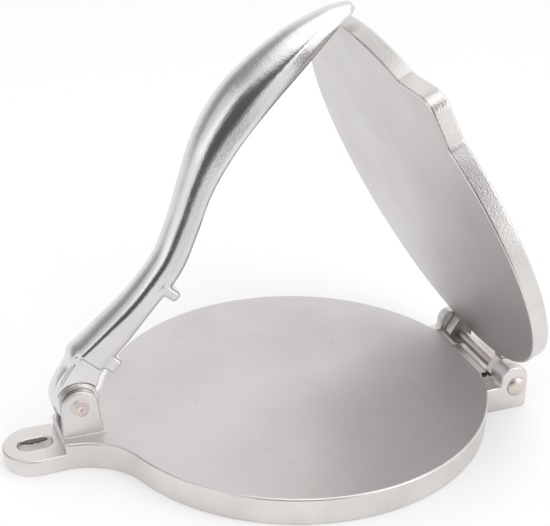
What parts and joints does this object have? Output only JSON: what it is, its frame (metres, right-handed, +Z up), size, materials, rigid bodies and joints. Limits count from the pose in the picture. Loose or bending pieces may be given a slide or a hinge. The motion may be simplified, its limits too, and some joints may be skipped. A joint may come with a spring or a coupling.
{
  "type": "tortilla press",
  "caption": "Cast aluminium tortilla press: round base with a slotted hang tab, a hinged upper disc with a corner lobe and a cranked lever handle.",
  "frame": {"origin": "on the table under the middle of the base disc, in the plane of its skirt's rim and hub", "axes": "+Z up, +X from the hang tab and handle pivot towards the plate hinge"},
  "size_m": [0.2667, 0.2, 0.2145],
  "materials": {
    "cast_aluminium": "satin",
    "polished_aluminium": "polished",
    "steel": "satin"
  },
  "bodies": {
    "base": {"base_plate": "cast_aluminium", "hinge_pin": "steel", "handle_pin": "steel"},
    "plate": {"upper_plate": "cast_aluminium"},
    "lever": {"handle": "polished_aluminium"}
  },
  "joints": [
    {"name": "plate_hinge", "type": "hinge", "parent": "base", "child": "plate", "pos_m": [0.1088, 0, 0.013], "axis": [0, 1, 0], "range_deg": [-64.5, 96]},
    {"name": "handle_hinge", "type": "hinge", "parent": "base", "child": "lever", "pos_m": [-0.114, 0, 0.0305], "axis": [0, 1, 0], "range_deg": [-32.25, 48]}
  ],
  "couplings": [
    {"joint": "handle_hinge", "follows": "plate_hinge", "ratio": 0.5}
  ]
}
